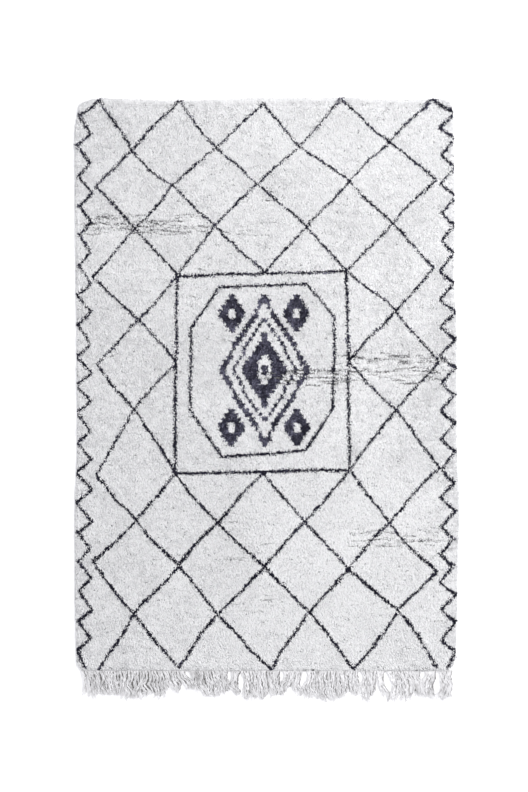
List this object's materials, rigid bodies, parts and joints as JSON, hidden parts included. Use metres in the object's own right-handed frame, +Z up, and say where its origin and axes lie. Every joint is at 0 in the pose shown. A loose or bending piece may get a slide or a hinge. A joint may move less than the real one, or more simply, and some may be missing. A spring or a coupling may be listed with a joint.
{
  "type": "beni ourain rug",
  "caption": "Flat shaggy wool rug, cream with a dark diamond lattice, zigzag side borders and a framed centre, and a warp fringe at one short end. Lies on a floor.",
  "frame": {"origin": "middle of the pile field on the flat underside, where the rug meets the floor", "axes": "+Z up through the pile; +Y along the rug's length, away from the fringe; +X across the rug, to the right when the fringe is nearest"},
  "size_m": [2.0517, 3.1881, 0.0277],
  "materials": {
    "pile_wool": "undyed cream wool pile with dark yarn in the same pile, matt",
    "fringe_wool": "loosely plied undyed warp yarn, matt",
    "weave_wool": "woven wool foundation, seen at the back and the selvedges, matt"
  },
  "bodies": {
    "root": {"rug_body": "pile_wool", "fringe": "fringe_wool"}
  },
  "joints": []
}
